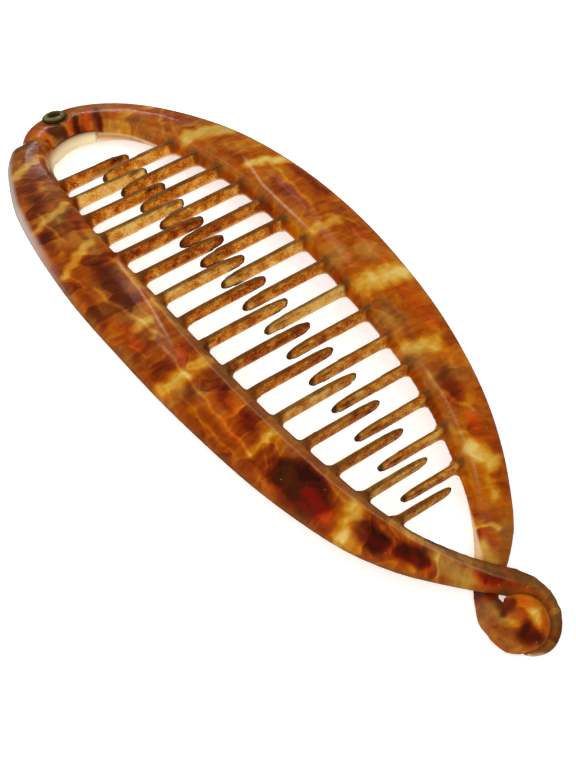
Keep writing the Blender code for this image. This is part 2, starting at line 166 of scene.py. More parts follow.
combs = {
    "voxel": 0.285,            # size of the mesh's cells
    "softening": 6,            # rounds of smoothing over the moulded edges
    "hookSoftening": 22,       # and over the thin hooks
    "polishing": 2,            # and over all, once the shapes are cut
    "leastWeight": 0.01,       # below this a vertex isn't smoothed
    "bevelSlope": 0.30,        # fall of the narrow band along the inner ridge
    "facetSlope": 0.07,        # fall of the wide facet inside the slanting crease
    "cutRunsOut": 3.0,         # how far past the ridge the two cuts die away
    "tipReach": 3.95,          # how far a tip passes the middle line, halfway along
    "tipSpread": 0.55,         # how much farther 60 mm from there
}

# The neck that flows into the button's dome, with places as (along, aside)
neck = {
    "start": (78.2, -2.2),     # of the raised spine
    "spine": (3.3, 1.7),       # from its start to its end
    "top": 0.6,                # rise of the spine
    "flat": 1.0,               # half width of its level top
    "fall": 0.30,              # how steeply it falls beside that
    # rounds: their middle, then the distances where they end and where they are full
    "walls": (((77.3, -2.3), 2.7, 1.8), ((78.6, -3.7), 1.7, 1.0)),
    "smoothed": (((77.2, -2.0), 2.7, 1.5), ((79.0, -4.2), 2.0, 1.1)),
    "smoothing": 36,
    "swell": (78.6, -4.2),     # where the outline swells
    "swellBy": 0.5,
    "swellWidth": 2.0,
}

# Fades: none at the first number and all at the second, in millimetres of what the note names,
# but the last three as it says
fades = {
    "hingePlate": (-50.0, -53.0),    # along
    "button": (75.5, 77.0),          # along
    "hook": (73.5, 75.5),            # along
    "neckEnd": (82.0, 79.0),         # along
    "fringeLight": (-8.0, -30.0),         # along
    "neckSide": (0.4, -1.0),         # aside
    "carvedTop": (-2.2, -1.0),       # rise
    "neckWall": (-4.8, -3.8),        # rise
    "neckFoot": (-6.0, -4.0),        # rise
    "lowEdge": (-2.2, -2.65),        # rise
    "tipTop": (-1.3, -0.8),          # rise
    "tipFoot": (-2.0, -2.5),         # rise
    "wallTop": (-0.15, -0.5),        # rise
    "rimTop": (-0.2, -0.9),          # rise
    "bandTop": (-1.4, -0.6),         # rise
    "creaseTop": (-1.5, -0.8),       # rise
    "lip": (0.4, -3.2),              # rise over the lip's own top
    "arm": (-1.9, -1.1),             # outward of the inner ridge
    "crestStart": (0.7, -0.6),       # outward of the inner ridge
    "rootStart": (0.2, -0.6),        # outward of the inner ridge
    "lowEdgeStart": (0.6, -0.4),     # outward of the inner ridge
    "wallEdge": (0.1, -0.35),        # outward of the inner ridge
    "bandStart": (-0.9, -0.5),       # outward of the inner ridge
    "bandEnd": (0.3, -0.3),          # outward of the band's edge
    "bandHighlightLine": (0.26, 0.05),        # away from the band's edge
    "creaseLine": (0.4, 0.05),       # away from the crease
    "bandKept": (0.0, 0.6),          # width of the band
    "bandLineKept": (0.6, 1.0),      # width of the band
    "bandLineRun": (166.0, 156.0),   # run along the arm
    "outerHalf": (0.0, 0.6),         # outward of the arm's middle
    "outerEdge": (-1.5, -0.2),       # outward of the arm's outer edge
    "tooth": (2.4, 1.8),             # away from a tooth's middle
    "rootSide": (1.5, 0.7),          # away from a tooth's middle
    "crestSide": (0.2, -0.2),        # toward the clasp from the crest's edge
    "lowEdgeEnd": (3.2, 4.6),        # back from a tooth's tip
    "tipEnd": (1.3, 0.5),            # back from a tooth's tip
    "tipRim": (5.0, 3.6),            # back from a tooth's tip
    "hingeRound": (11.5, 10.0),      # away from the middle of the hinge's round
    "tipSide": (0.5, 1.0),           # away from a tooth's middle, as a share of its half width
    "neckTop": (0.0, 0.75),          # as facingOut gives it
    "crestTop": (0.5, 0.8),          # as facingOut gives it
}

# What the paints on the teeth and along the edges go by
edges = {
    "crestShare": 0.3,               # strength of the painted crest shade on the lit side of a tooth
    "crestEdge": ((-30, 40), (0.6, 0.1)),    # along, and how far past a tooth's middle the painted crest shade reaches
    "tipHalf": 0.25,                 # half width of a tooth at its very end
    "tipWidening": 0.4,              # what that gains
    "tipRound": 1.6,                 # in this length
    "hingeMiddle": -48.5,            # along, the middle of the hinge's round
    "fringeLight": 0.8,                   # strengths of the three pale lines: painted light on the fringe, painted highlights on the crease and the band's edge
    "crease": 0.8,
    "bandHighlightLine": 0.3,
}

# Kinds of brush stroke on both combs. A stroke is its half width, its strength, then points as
# (run along the arm, outward of its middle).
markKinds = ("cream", "vein", "dark", "red", "olive")
strokeFull = 0.1               # in half widths, how far from its middle a stroke keeps its strength
strokeEnd = 1.75               # and where it has faded away
lightestTone = 9               # of the teeth, whose darkest tone is 0

frontComb = {
    "name": "frontTortoiseshellComb",
    "node": "front_comb",
    "body": "front",
    "slot": "front_tortoiseshell",
    "side": -1,
    "firstTooth": -40.4,
    "pitch": 6.48,
    "teeth": 16,
    "tone": 0.45,
    "blocks": 0.24,
    "bandSheen": 0.35,
    "lipTop": -1.2,
    # along, aside and half width of the arm's middle line, from the hinge to the hook's end
    "middle": (
        (-57.8, 9.2, 4.6), (-60.2, 6.6, 4.7), (-61.8, 3.7, 4.8), (-62.2, 0.7, 4.6), (-61.8, -2.3, 4.5),
        (-60.8, -5.0, 4.3), (-58.5, -7.6, 4.0), (-56.0, -10.0, 3.7), (-52.8, -12.3, 3.8), (-48.7, -14.3, 4.0),
        (-38.2, -17.6, 5.0), (-29.2, -19.6, 5.3), (-19.3, -20.9, 5.8), (-8.0, -21.6, 6.2), (4.0, -21.7, 6.2),
        (16.2, -21.3, 6.1), (27.2, -20.3, 5.9), (37.2, -18.7, 5.6), (46.2, -16.5, 5.1), (54.4, -13.8, 4.5),
        (61.5, -10.1, 3.5), (67.6, -5.4, 2.6), (72.8, -0.5, 2.1), (76.7, 3.8, 1.9), (79.4, 5.9, 1.8),
        (82.9, 6.2, 1.6), (85.7, 4.8, 1.3), (87.0, 2.3, 0.9), (86.4, -0.1, 0.6),
    ),
    # width of the band along the ridge and of the facet inside the slanting crease, by run along the arm
    "band": ((66, 0.0), (80, 1.1), (100, 1.9), (127, 1.9), (140, 1.2), (152, 1.2), (162, 1.5), (180, 1.5)),
    "facet": ((65, 0.4), (70.4, 1.2), (77, 1.8), (81.6, 2.5), (88.4, 3.9), (93, 5.2)),
    "facetSpan": (66, 70, 84, 93),
    "cream": (
        (1.2, 0.9, (27, -3.5), (30, -1.2), (33.5, 2.2)),
        (0.8, 0.9, (47, -4.2), (49.5, -1.5), (51.5, 2), (53, 4.2)),
        (1.0, 1.0, (60.8, -3.4), (63, 0), (66, 4.5)), (1.0, 0.8, (83.5, -1.8), (84, 1.5)),
        (0.6, 0.7, (86.8, -1.2), (87.3, 0.4)), (1.5, 1.0, (96.5, -5), (97, 5)),
        (0.9, 0.6, (114.5, -3.5), (115, 2.5)), (1.7, 0.9, (133.5, -2), (134.5, 3.2)),
        (2.2, 0.8, (150, -1.8), (152, 0), (154.5, 2)), (0.6, 0.5, (67, -4.6), (75, -5.2), (88, -5.2)),
        # the first stroke here, on the band near the crossing, is a painted highlight
        (0.9, 0.8, (140, -3.8), (150, -2.2)), (0.8, 0.4, (118, 4.2), (126, 4.4)),
    ),
    "vein": (
        (0.3, 0.9, (48, 1.7), (53, 1.4), (58, 0.6)),
        (0.35, 0.9, (72, 1.8), (76, 1.6), (82, -0.2), (88, -1.2)),
        (0.3, 1.0, (90, -0.4), (97, 0.4), (105, 1.3), (115, 2.4)), (0.25, 0.6, (36, -1.2), (34.6, 2.5)),
        (0.25, 0.6, (38, -1.6), (37, 2.8)), (0.25, 0.6, (40.4, -1.6), (42, 2.8)),
        (0.25, 0.6, (43, -2.4), (45, 2.5)), (0.25, 0.7, (102.3, -3.5), (102.3, 1)),
        (0.25, 0.6, (107.7, -3.4), (107.9, 1.6)), (0.25, 0.6, (109, -3.3), (109.3, 2)),
        (0.25, 0.7, (114.5, -3), (116.5, 0.5), (119.5, 3.6)),
        (0.25, 0.6, (116, -3.2), (117.6, 0.2), (121, 4)),
        (0.25, 0.6, (117.8, -3.2), (118.7, 0), (121, 2.8)),
        (0.35, 0.9, (138.8, -1.8), (142, 0.2), (146.4, 2.9)), (0.3, 0.8, (135.5, 0), (139.5, 3.6)),
        (0.3, 0.8, (123, -3.6), (127, -3.2), (131.5, -1.5)), (0.2, 0.6, (86, 4.0), (90, 3.4)),
        (0.2, 0.6, (66.5, 4.0), (71, 3)), (0.2, 0.5, (57.5, 0.6), (60, 3.8)),
        (0.2, 0.5, (91.5, -3), (92, 4)), (0.2, 0.5, (100, 3.4), (107, 4.2), (113, 4.4)),
    ),
    "dark": (
        (3.7, 1.6, (122.8, 1), (126, 1.2)), (2.1, 1.2, (136.4, 0.6), (139.5, 1)),
        (1.6, 1.2, (143.6, 0.2), (146.6, 0.6)), (1.5, 0.55, (157.6, -0.3), (159.6, -0.1)),
        (3.0, 0.6, (69, -1.5), (78, -1)), (1.3, 0.5, (70, 4), (80, 5)), (1.5, 0.6, (54, 3), (60, 3.4)),
        (2.3, 0.45, (37, 0.5), (45, 1)), (1.3, 0.4, (93, 2.2), (93, 3)),
        (1.4, 0.5, (99.8, 1.5), (101.5, 3.2)), (1.5, 0.6, (103, -2.4), (106, -1.2)),
        (1.6, 0.6, (109.5, -1.8), (112, -1)), (1.0, 0.4, (104, 2.8), (112, 3.6)),
        (1.4, 0.5, (163, -2), (170, -1.5), (179, 0)), (0.9, 0.5, (54, -3.4), (59, -2.8)),
        (1.0, 0.4, (88, 1.2), (89, 4.6)),
    ),
    "red": (
        (1.5, 0.7, (83, 2.5), (88, 3)), (1.3, 0.7, (92, -2), (94, -1.5)),
        (1.3, 1.5, (126.5, 1.2), (130.5, 2.2)), (0.9, 0.9, (126.5, 3.5), (131, 3.6)),
        (1.3, 0.6, (103, 0.5), (112, 2)), (1.0, 0.9, (148, 1.2), (148.6, 1.4)),
        (1.5, 0.9, (157.4, 0.2), (160, 0.6)), (1.3, 0.6, (104, -2), (111, -1)),
        (1.1, 0.7, (163, 0.3), (166, 1)), (1.0, 0.5, (80.6, 0.5), (82, 1.5)),
        (1.0, 0.6, (137, 1.2), (146, 1.2)),
    ),
    "olive": (
        (1.5, 1.1, (150.5, 0.2), (154.5, 0.6)), (3.6, 0.5, (16, 0), (34, 0)),
        (3.6, 0.4, (40, 0), (58, 0)), (2.6, 0.45, (72, 0), (88, 0)),
        (1.6, 0.7, (148, -2.2), (152, -1.6), (158, -2.4)), (1.6, 0.5, (24, -2), (30, 2.6)),
        (1.5, 0.5, (70, -3), (76, -3)), (1.0, 0.9, (165, -1), (180, -0.5)),
    ),
    "spots": {},
    # tone of each tooth from the hinge on
    "toothTones": (4, 8, 4, 7, 3, 3, 6, 4, 5, 3, 3, 7, 4, 4, 6, 5),
}

rearComb = {
    "name": "rearTortoiseshellComb",
    "node": "rear_comb",
    "body": "rear",
    "slot": "rear_tortoiseshell",
    "side": 1,
    "firstTooth": -37.15,
    "pitch": 6.5,
    "teeth": 15,
    "tone": 0.53,
    "blocks": 0.10,
    "bandSheen": 0.15,
    "lipTop": -2.2,
    "middle": (
        (-56.6, -8.2, 3.3), (-58.7, -6.8, 3.5), (-60.5, -4.8, 3.9), (-61.7, -2.3, 4.4), (-62.2, 0.7, 4.6),
        (-61.8, 3.7, 4.8), (-60.2, 6.6, 4.7), (-57.8, 9.2, 4.6), (-54.6, 11.6, 4.3), (-49.5, 14.2, 4.3),
        (-38.2, 17.5, 5.0), (-29.2, 19.6, 5.3), (-19.3, 20.9, 5.5), (-8.0, 21.4, 5.8), (4.0, 21.4, 5.9),
        (16.2, 20.6, 5.8), (27.2, 19.6, 5.4), (37.2, 18.0, 4.9), (46.2, 15.8, 4.5), (54.4, 13.0, 3.9),
        (61.3, 9.8, 3.3), (66.6, 6.8, 3.0), (70.4, 3.8, 2.5), (74.2, 0.4, 2.3), (77.3, -2.1, 2.6),
        (80.3, -3.3, 2.8), (84.0, -3.0, 2.8), (86.5, -1.0, 2.8),
    ),
    "band": ((30, 0.0), (36, 0.8), (60, 0.8), (80, 0.6), (114, 0.4), (124, 1.4), (140, 1.0), (150, 0.0)),
    "facet": ((55, 5.6), (60, 3.4), (67, 1.6), (73, 1.2), (81, 1.1), (87, 1.0)),
    "facetSpan": (57, 61, 77, 85),
    "cream": (
        (1.1, 0.9, (26.5, -2.5), (28.5, 1.5), (30.5, 2.5)), (0.6, 0.6, (25, -5.2), (29, -4.6)),
        (2.0, 1.0, (44.5, -3), (46.5, 0.5), (49.5, 3.8)), (1.3, 0.9, (60.8, -2), (62, 1), (64, 4)),
        (1.2, 0.9, (82.8, -4), (83.3, 0.5)), (2.4, 1.0, (98.5, -4.6), (98.8, 0), (99.5, 3.5)),
        (1.5, 0.9, (114, -4.8), (115.5, 0.5)), (2.0, 1.0, (136, -2), (138.5, 0.5)),
        (1.1, 0.5, (142, -0.5), (145, 0)), (0.5, 0.8, (149.6, -3.5), (150, 0)),
        (1.2, 0.7, (153.4, -2.6), (156, 0)), (0.7, 0.5, (131.5, -4), (133, -2.4)),
    ),
    "vein": (
        (0.3, 0.7, (39.5, -4.5), (36, -1.5), (33, 2.6)), (0.3, 0.6, (42, -4), (38, -0.6), (35.4, 2.8)),
        (0.25, 0.5, (40.5, -1.5), (44, 1.6)), (0.4, 0.8, (64, 1.1), (72, -0.1), (77, -0.6), (81, -1.6)),
        (0.4, 0.8, (80.6, -1.2), (83, 2.2), (86, 3.2)), (0.3, 0.4, (84, 2), (92, 1.6), (97, 2.2)),
        (0.4, 0.9, (120.2, -3.9), (124, -3.4), (126.8, -1.6), (129, 0.4)),
        (0.2, 0.5, (52, -2.5), (54, 2.6)), (0.2, 0.5, (56, -2), (58.6, 2.4)),
    ),
    "dark": (
        (1.4, 1.0, (20, -4), (22, -2)), (0.8, 0.35, (22, -3.8), (30, -3.2), (40, -2.8)),
        (1.5, 0.4, (68, -1.8), (78, -2)), (1.6, 0.4, (36, 0.8), (41, 1.5)),
        (1.5, 0.4, (52, -2.5), (58, -2)), (1.9, 0.35, (89, -2), (94, -1.5)),
        (2.0, 0.6, (121.5, -1.4), (125.5, -1.2)), (1.2, 0.45, (147.6, -3), (148.6, -1)),
        (1.2, 0.5, (151, -3), (152.6, -1)), (1.1, 0.35, (104, -3.2), (112, -3)),
        (1.8, 0.95, (160, -2), (162.5, 1)), (1.0, 0.5, (66, 3.6), (76, 3.8)),
    ),
    "red": (
        (1.6, 0.4, (68, -1), (76, -1)), (1.6, 0.8, (160, -1), (162, 1)),
        (1.9, 0.6, (103, 1.8), (111, 2)), (1.6, 0.9, (130, 0), (132, 0.3)),
        (1.6, 0.6, (88, 2), (95, 2.4)), (0.7, 0.6, (134.5, -1.4), (134.8, 2)),
        (1.1, 0.7, (147.4, -2.2), (148.6, -1)), (1.1, 0.7, (151, -2.4), (152.6, -1)),
        (1.4, 0.4, (117, 1), (121, 2)),
    ),
    "olive": (
        (1.2, 0.7, (24, -3.6), (32, -3.4)), (2.0, 0.6, (45, -2), (49, 3)),
        (1.5, 0.7, (153, -2), (157, 0)), (1.6, 0.8, (159, 2), (163, 3)),
    ),
    # strokes on the plate and the button, with points as (along, aside)
    "spots": {
        "red": (
            (1.0, 0.7, (-55.6, -5.1), (-57.7, -5.6)), (1.2, 0.7, (-59.7, -5.5)),
            (0.6, 0.9, (-56.2, 0.2), (-59.2, 1.2)), (0.8, 1.1, (-54.6, 3.6), (-59.0, 5.4)),
            (1.1, 0.9, (78.9, 2.0)), (1.2, 0.8, (79.9, 0.0)), (1.3, 0.6, (78.2, -1.6)),
            (1.2, 0.5, (82.9, 3.2), (83.5, 2.0)), (0.8, 0.5, (-56.6, 2.2)),
        ),
        "dark": (
            (1.1, 0.9, (-57.6, -3.3), (-57.3, -1.0)), (0.9, 0.9, (-59.0, -1.4), (-58.4, -3.6)),
            (0.7, 0.9, (-56.0, 1.8), (-59.0, 2.9)), (0.8, 0.8, (-54.4, 5.8), (-58.4, 7.6)),
            (0.7, 0.8, (-55.4, -5.6)), (1.9, 1.1, (82.7, -0.6), (83.8, -0.1)), (1.1, 0.9, (78.0, -2.0)),
            (1.0, 0.8, (77.4, 0.4), (78.2, -1.2)), (1.7, 0.8, (75.4, -1.4), (76.6, -1.6)),
        ),
        "cream": (
            (1.4, 0.7, (81.0, 2.2), (82.2, 1.8)), (0.9, 0.45, (80.9, -2.0)),
            (0.8, 0.4, (-53.7, 6.2), (-51.2, 8.6)), (0.9, 0.3, (85.3, -0.6), (84.6, -2.4)),
            (0.5, 0.5, (-55.4, 4.6), (-54.6, 4.2)),
        ),
        "olive": (
            (1.5, 1.0, (77.9, -3.3), (76.6, -3.0)), (1.1, 0.6, (-61.0, 5.0), (-60.4, 1.6)),
            (0.8, 0.6, (-53.0, 6.8), (-50.6, 9.0)), (1.2, 0.5, (80.4, -4.2), (84.3, -3.4)),
            (1.2, 0.8, (-57.6, -2.4), (-59.0, -1.4)),
        ),
    },
    "toothTones": (5, 4, 4, 5, 3, 4, 7, 4, 9, 4, 5, 5, 5, 6, 6),
}


def onFace(points):
    # along, aside and rise of points given in metres
    x = points[:, 0] - bowCentre.x
    z = points[:, 2] - bowCentre.z
    turn = np.arctan2(x, z) - np.arctan2(pinAxis.x, pinAxis.z)
    along = bow["pinAlong"] + turn * bow["radius"]
    return along, (points[:, 1] - pinPlace.y) / mm, np.hypot(x, z) / mm - bow["radius"]


def onArm(plan, along, aside):
    # run along the arm's middle line, distance outward of it and half width there
    line = np.array(plan["middle"])
    best = np.full(len(along), np.inf)
    run, across, half = (np.zeros(len(along)) for i in range(3))
    before = 0.0
    for a, b in zip(line, line[1:]):
        step = b[:2] - a[:2]
        length = np.hypot(*step)
        dx, dy = along - a[0], aside - a[1]
        t = np.clip((dx * step[0] + dy * step[1]) / length ** 2, 0, 1)
        away = np.hypot(dx - t * step[0], dy - t * step[1])
        outward = plan["side"] * (step[0] * dy - step[1] * dx)
        near = away < best
        best = np.where(near, away, best)
        run = np.where(near, before + t * length, run)
        across = np.where(near, np.sign(outward) * away, across)
        half = np.where(near, a[2] + t * (b[2] - a[2]), half)
        before += length
    return run, across, half


def fade(name, values):
    none, full = fades[name]
    return smoothStep(none, full, values)


def meshPoints(piece):
    points = np.empty(len(piece.data.vertices) * 3)
    piece.data.vertices.foreach_get("co", points)
    return points.reshape(-1, 3)


def movePoints(piece, points):
    piece.data.vertices.foreach_set("co", points.ravel())
    piece.data.update()


def awayFromBow(points):
    away = points - np.array((bowCentre.x, 0, bowCentre.z))
    away[:, 1] = 0
    return away / np.linalg.norm(away, axis=1)[:, None]


def facingOut(piece):
    # 1 where the surface faces straight out of the bow, 0 on its sides, -1 below
    normals = np.empty(len(piece.data.vertices) * 3)
    piece.data.vertices.foreach_get("normal", normals)
    return (normals.reshape(-1, 3) * awayFromBow(meshPoints(piece))).sum(axis=1)


def bandAndFacet(plan, run):
    start, full, fading, end = plan["facetSpan"]
    faceted = smoothStep(start, full, run) * smoothStep(end, fading, run)
    return np.interp(run, *np.array(plan["band"]).T), np.interp(run, *np.array(plan["facet"]).T), faceted


def carve(piece, plan):
    # the narrow band along the ridge and the facet inside the slanting crease, cut into the top
    points = meshPoints(piece)
    along, aside, rise = onFace(points)
    run, across, half = onArm(plan, along, aside)
    fromRidge = across + half
    band, facet, faceted = bandAndFacet(plan, run)
    fall = combs["bevelSlope"] * np.maximum(0, band - np.maximum(fromRidge, 0))
    fall += combs["facetSlope"] * faceted * np.maximum(0, facet - np.maximum(fromRidge, 0))
    fall *= fade("carvedTop", rise) * np.exp(np.minimum(fromRidge, 0) / combs["cutRunsOut"])
    movePoints(piece, points - awayFromBow(points) * (fall * mm)[:, None])


def soften(piece, name, rounds, weigh):
    # smooth only where the weights say
    weights = weigh(*onFace(meshPoints(piece)))
    chosen = np.nonzero(weights > combs["leastWeight"])[0]
    if not len(chosen):
        return
    group = piece.vertex_groups.new(name=name)
    for index in chosen:
        group.add([int(index)], float(weights[index]), "REPLACE")
    applyModifier(piece, name, "SMOOTH", factor=0.5, iterations=rounds, vertex_group=name)
    piece.vertex_groups.clear()


def hookWeights(along, aside, rise):
    return fade("hook", along)


def neckWeights(along, aside, rise):
    return fade("neckFoot", rise) * inRounds(neck["smoothed"], along, aside)


def inRounds(rounds, along, aside):
    # 1 well inside any of the rounds, 0 outside them all
    inside = np.zeros(len(along))
    for middle, end, full in rounds:
        away = np.hypot(along - middle[0], aside - middle[1])
        inside = np.maximum(inside, smoothStep(end, full, away))
    return inside


def raiseNeck(piece):
    # lift and fill the neck beside the button, so that the two flow together
    points = meshPoints(piece)
    along, aside, rise = onFace(points)
    spine = np.array(neck["spine"])
    fromStart = np.stack([along, aside], 1) - neck["start"]
    t = np.clip(fromStart @ spine / (spine @ spine), 0, 1)
    away = np.linalg.norm(fromStart - t[:, None] * spine, axis=1)
    wanted = neck["top"] - neck["fall"] * np.maximum(0, away - neck["flat"]) ** 2
    wall = inRounds(neck["walls"], along, aside) * fade("neckWall", rise)
    lift = np.maximum(0, wanted - rise) * np.maximum(wall, fade("neckTop", facingOut(piece)))
    lift *= fade("neckSide", aside) * fade("neckEnd", along)
    points += awayFromBow(points) * (lift * mm)[:, None]
    fromSwell = np.hypot(along - neck["swell"][0], aside - neck["swell"][1])
    points[:, 1] -= neck["swellBy"] * mm * np.exp(-fromSwell ** 2 / (2 * neck["swellWidth"] ** 2))
    movePoints(piece, points)


def paint(piece, name, values):
    kind = "FLOAT" if values.ndim == 1 else "FLOAT_VECTOR"
    attribute = piece.data.attributes.new(name, kind, "POINT")
    key = "value" if values.ndim == 1 else "vector"
    attribute.data.foreach_set(key, values.astype(np.float32).ravel())


def brush(strokes, first, second):
    # the strokes' paint at each point, soft at the edges and unsteady by up to a quarter of a millimetre
    unsteadyFirst = first + 0.25 * np.sin(1.9 * second + 0.7 * first)
    unsteadySecond = second + 0.22 * np.sin(1.3 * first)
    places = np.stack([unsteadyFirst, unsteadySecond], 1)
    total = np.zeros(len(first))
    for width, strength, *path in strokes:
        path = [np.array(point, float) for point in path]
        away = np.linalg.norm(places - path[0], axis=1)
        for a, b in zip(path, path[1:]):
            t = np.clip((places - a) @ (b - a) / ((b - a) @ (b - a)), 0, 1)
            away = np.minimum(away, np.linalg.norm(places - a - t[:, None] * (b - a), axis=1))
        total = np.maximum(total, strength * smoothStep(strokeEnd * width, strokeFull * width, away))
    return total


class Survey:
    # Where each vertex of a comb lies: on the clip's face, on its arm and beside its nearest tooth.
    def __init__(self, piece, plan):
        self.along, self.aside, self.rise = onFace(meshPoints(piece))
        self.run, self.across, self.half = onArm(plan, self.along, self.aside)
        self.fromRidge = self.across + self.half
        self.facing = facingOut(piece)
        nearest = np.round((self.along - plan["firstTooth"]) / plan["pitch"])
        self.tooth = np.clip(nearest, 0, plan["teeth"] - 1).astype(int)
        self.offTooth = self.along - plan["firstTooth"] - self.tooth * plan["pitch"]
        self.fromTooth = np.abs(self.offTooth)
        tip = combs["tipReach"] + combs["tipSpread"] * (self.along / 60) ** 2
        self.toTip = tip + plan["side"] * self.aside
        self.overArm = fade("arm", self.fromRidge)


def paintMarks(piece, plan, at):
    # the brush strokes, laid out along the arm, but by along and aside on the plate and the button
    onPlate = np.maximum(fade("hingePlate", at.along), fade("button", at.along) * (plan["side"] > 0))
    for kind in markKinds:
        marks = brush(plan[kind], at.run, at.across)
        if kind in plan["spots"]:
            marks = np.maximum(marks * (1 - onPlate), brush(plan["spots"][kind], at.along, at.aside))
        paint(piece, kind, marks)


def paintTeeth(piece, plan, at):
    byTooth = fade("tooth", at.fromTooth)
    inTeeth = (1 - at.overArm) * byTooth
    paint(piece, "tooth", inTeeth)
    paint(piece, "toothTone", np.array(plan["toothTones"], float)[at.tooth] / lightestTone)
    # painted shade on the crest of each tooth, fullest on its shaded half
    shaded = fade("crestSide", at.offTooth - np.interp(at.along, *edges["crestEdge"]))
    crest = byTooth * fade("crestStart", at.fromRidge) * fade("crestTop", at.facing)
    paint(piece, "crest", crest * (edges["crestShare"] + (1 - edges["crestShare"]) * shaded))
    # painted light along the low edge of each tooth, where light comes through
    lowEdge = fade("lowEdge", at.rise) * fade("lowEdgeStart", at.fromRidge)
    paint(piece, "lowEdge", lowEdge * fade("lowEdgeEnd", at.toTip))
    # painted shade: a dark line round the end of each tooth
    tipHalf = edges["tipHalf"] + edges["tipWidening"] * np.sqrt(np.clip(at.toTip / edges["tipRound"], 0, 1))
    sides = fade("tipSide", at.fromTooth / tipHalf) * fade("tipTop", at.rise)
    rim = fade("tipRim", at.toTip) * np.maximum(sides, fade("tipFoot", at.rise))
    paint(piece, "tip", inTeeth * np.maximum(fade("tipEnd", at.toTip), rim))
    # painted shade where each tooth meets the arm
    paint(piece, "root", at.overArm * fade("rootSide", at.fromTooth) * fade("rootStart", at.fromRidge))


def paintArm(piece, plan, at):
    # painted shade on the inner wall below the ridge
    paint(piece, "innerWall", at.overArm * fade("wallEdge", at.fromRidge) * fade("wallTop", at.rise))
    # painted light along the front's outer edge near the hinge
    fringeLight = fade("outerEdge", at.across - at.half) * fade("fringeLight", at.along)
    # painted shade on the lower outer side of the arm
    rim = fade("rimTop", at.rise) * fade("outerHalf", at.across)
    paint(piece, "outerRim", np.maximum(rim, fringeLight * edges["fringeLight"]))
    band, facet, faceted = bandAndFacet(plan, at.run)
    # the band along the ridge, where a greyish sheen is painted
    onBand = fade("bandEnd", at.fromRidge - band) * fade("bandStart", at.fromRidge)
    paint(piece, "band", onBand * fade("bandTop", at.rise) * fade("bandKept", band))
    # painted highlight lines along the band's edge and the crease
    bandHighlightLine = fade("bandHighlightLine", np.abs(at.fromRidge - band)) * fade("bandLineKept", band)
    bandHighlightLine = bandHighlightLine * fade("bandLineRun", at.run) * edges["bandHighlightLine"]
    crease = fade("creaseLine", np.abs(at.fromRidge - facet)) * faceted * edges["crease"]
    paint(piece, "crease", np.maximum(crease, bandHighlightLine) * fade("creaseTop", at.rise))
    # painted light on the lips at the hinge, where light comes through the thin plastic
    fromHinge = np.hypot(at.along - edges["hingeMiddle"], at.aside)
    paint(piece, "lip", fade("lip", at.rise - plan["lipTop"]) * fade("hingeRound", fromHinge))
    paint(piece, "along", at.along)


def paintComb(piece, plan):
    at = Survey(piece, plan)
    paint(piece, "armPlace", np.stack([at.run, at.across, at.rise], 1))
    paintMarks(piece, plan, at)
    paintTeeth(piece, plan, at)
    paintArm(piece, plan, at)


def makeComb(plan):
    piece = bpy.data.objects.new(plan["name"], frame["nodes"][plan["node"]].data.copy())
    bpy.context.scene.collection.objects.link(piece)
    piece.data.materials.clear()
    selectOnly(piece)
    bpy.ops.object.mode_set(mode="EDIT")
    bpy.ops.mesh.select_all(action="SELECT")
    bpy.ops.mesh.remove_doubles(threshold=0.001 * mm)
    bpy.ops.object.mode_set(mode="OBJECT")
    applyModifier(piece, "moulding", "REMESH", mode="VOXEL", voxel_size=combs["voxel"] * mm)
    applyModifier(piece, "softened", "SMOOTH", factor=0.5, iterations=combs["softening"])
    soften(piece, "hook", combs["hookSoftening"], hookWeights)
    if plan["side"] > 0:
        raiseNeck(piece)
        soften(piece, "buttonNeck", neck["smoothing"], neckWeights)
    carve(piece, plan)
    applyModifier(piece, "polished", "SMOOTH", factor=0.4, iterations=combs["polishing"])
    paintComb(piece, plan)
    selectOnly(piece)
    bpy.ops.object.shade_smooth()
    piece.data.materials.append(tortoiseshell(plan))
    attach(piece, plan["body"])
    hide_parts(plan["node"])
    print(plan["name"], "made:", len(piece.data.polygons), "faces")


# Colours of the plastic as seen on screen, deep before pale where two are mixed
amber = {
    "plain": (
        (0.02, tint(50, 10, 1)),
        (0.16, tint(80, 20, 1)),
        (0.32, tint(116, 38, 1)),
        (0.47, tint(152, 64, 1)),
        (0.60, tint(178, 92, 2)),
        (0.72, tint(194, 122, 16)),
        (0.84, tint(208, 154, 50)),
        (1.0, tint(222, 188, 102)),
    ),
    # the teeth's ramp is lighter than the arms', as painted light on their lit sides
    "tooth": (
        (0.0, tint(104, 30, 1)),
        (0.25, tint(170, 76, 3)),
        (0.55, tint(218, 138, 24)),
        (0.95, tint(248, 210, 112)),
    ),
    "red": (tint(122, 14, 2), tint(214, 70, 4)),
    "olive": (tint(74, 46, 8), tint(176, 140, 66)),
    # painted shade on the teeth's crests
    "crest": (tint(46, 18, 2), tint(116, 72, 26)),
    # painted light on the lips at the hinge
    "lip": (tint(120, 66, 16), tint(200, 142, 62)),
    "lipLightEdge": tint(248, 228, 184),
    # painted sheen on the band along the ridge
    "band": (tint(84, 56, 20), tint(150, 112, 54)),
    # painted light through the teeth's low edges
    "lowEdge": tint(238, 206, 156),
    # painted shade at the teeth's tips
    "tip": tint(36, 18, 4),
    # painted shade at the teeth's roots
    "root": tint(84, 54, 14),
    # painted highlight along the crease
    "crease": tint(226, 196, 166),
    # painted light on the front's outer fringe
    "fringeLight": tint(236, 222, 210),
    # painted shade on the outer rim
    "rim": tint(112, 80, 36),
    "speck": tint(236, 200, 140),
}

